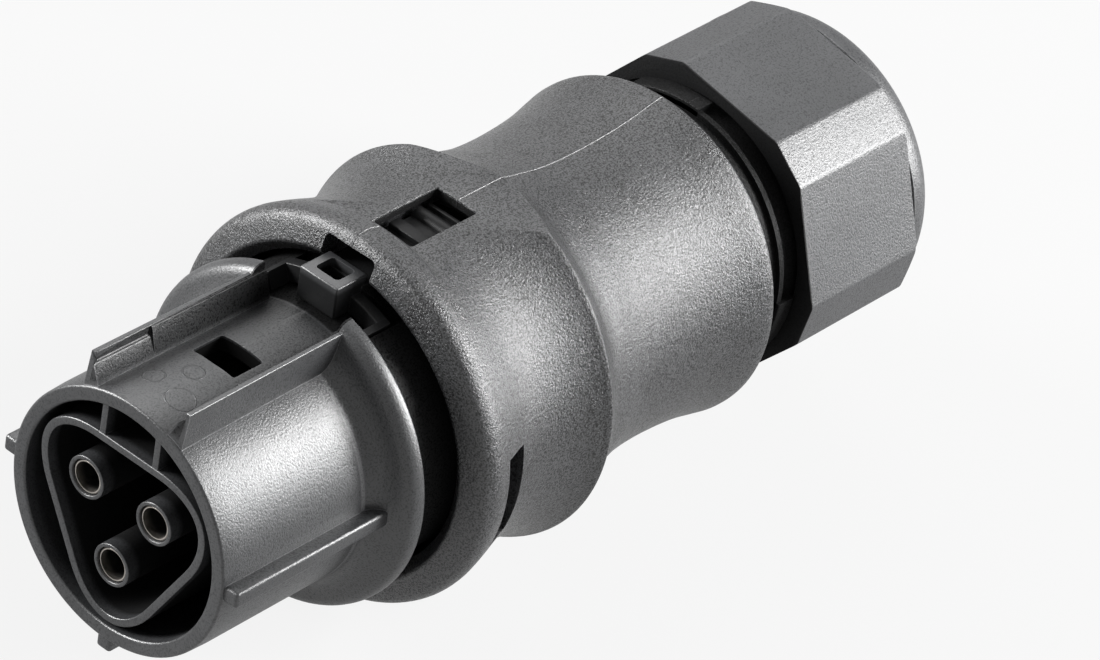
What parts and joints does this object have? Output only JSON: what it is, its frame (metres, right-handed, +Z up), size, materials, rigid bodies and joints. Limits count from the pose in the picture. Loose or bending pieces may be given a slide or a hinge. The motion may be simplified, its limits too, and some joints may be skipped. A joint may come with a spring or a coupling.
{
  "type": "cable connector receptacle",
  "caption": "Round cable connector receptacle with a key-slotted socket face, a flared grip housing with a release slide, and a hexagonal gland nut at the cable end.",
  "frame": {"origin": "middle of the connector's length, on its axis", "axes": "+X along the axis from the mating face to the cable end, +Z up as the connector lies on a flat of its gland nut; the latch side faces 10.7 degrees from +Z towards +Y"},
  "size_m": [0.082, 0.033, 0.033],
  "materials": {
    "housing_plastic": "spark-textured matt black",
    "insert_plastic": "matt black",
    "slide_plastic": "satin black",
    "carrier_plastic": "matt dark grey",
    "cage_plastic": "satin black",
    "nut_plastic": "smooth matt black",
    "seal_rubber": "matt",
    "contact_metal": "silver-plated copper alloy",
    "terminal_brass": "bright",
    "screw_steel": "zinc-plated"
  },
  "bodies": {
    "housing": {"outer_housing": "housing_plastic", "front_insert": "insert_plastic", "contact_carrier": "carrier_plastic", "barrel_seal": "seal_rubber", "clamping_cage": "cage_plastic", "cable_seal": "seal_rubber", "socket_line": "contact_metal", "socket_earth": "contact_metal", "socket_neutral": "contact_metal", "terminal_line": "terminal_brass", "terminal_earth": "terminal_brass", "terminal_neutral": "terminal_brass"},
    "release": {"release_slide": "slide_plastic"},
    "slip": {"slip_ring": "cage_plastic"},
    "nut": {"gland_nut": "nut_plastic"},
    "plate_line": {"wire_plate_line": "screw_steel"},
    "screw_line": {"terminal_screw_line": "screw_steel"},
    "plate_earth": {"wire_plate_earth": "screw_steel"},
    "screw_earth": {"terminal_screw_earth": "screw_steel"},
    "plate_neutral": {"wire_plate_neutral": "screw_steel"},
    "screw_neutral": {"terminal_screw_neutral": "screw_steel"}
  },
  "joints": [
    {"name": "release_travel", "type": "slide", "parent": "housing", "child": "release", "axis": [1, 0, 0], "range_m": [0, 0.0014], "stiffness_N_per_m": 400},
    {"name": "gland_travel", "type": "slide", "parent": "housing", "child": "slip", "axis": [1, 0, 0], "range_m": [0, 0.003]},
    {"name": "gland_turn", "type": "hinge", "parent": "slip", "child": "nut", "pos_m": [0.03095, 0, 0], "axis": [1, 0, 0], "range_deg": [0, 540]},
    {"name": "plate_line_travel", "type": "slide", "parent": "housing", "child": "plate_line", "axis": [0, 0.7581, -0.6521], "range_m": [0, 0.0014]},
    {"name": "screw_line_turn", "type": "hinge", "parent": "plate_line", "child": "screw_line", "pos_m": [0.00155, -0.00607, 0.00522], "axis": [0, 0.7581, -0.6521], "range_deg": [0, 1008]},
    {"name": "plate_earth_travel", "type": "slide", "parent": "housing", "child": "plate_earth", "axis": [0, 0.1857, 0.9826], "range_m": [0, 0.0014]},
    {"name": "screw_earth_turn", "type": "hinge", "parent": "plate_earth", "child": "screw_earth", "pos_m": [0.00155, -0.00149, -0.00786], "axis": [0, 0.1857, 0.9826], "range_deg": [0, 1008]},
    {"name": "plate_neutral_travel", "type": "slide", "parent": "housing", "child": "plate_neutral", "axis": [0, -0.9438, -0.3305], "range_m": [0, 0.0014]},
    {"name": "screw_neutral_turn", "type": "hinge", "parent": "plate_neutral", "child": "screw_neutral", "pos_m": [0.00155, 0.00755, 0.00264], "axis": [0, -0.9438, -0.3305], "range_deg": [0, 1008]}
  ],
  "couplings": [
    {"joint": "gland_turn", "follows": "gland_travel", "rad_per_m": 3141.6},
    {"joint": "screw_line_turn", "follows": "plate_line_travel", "rad_per_m": 12566},
    {"joint": "screw_earth_turn", "follows": "plate_earth_travel", "rad_per_m": 12566},
    {"joint": "screw_neutral_turn", "follows": "plate_neutral_travel", "rad_per_m": 12566}
  ]
}
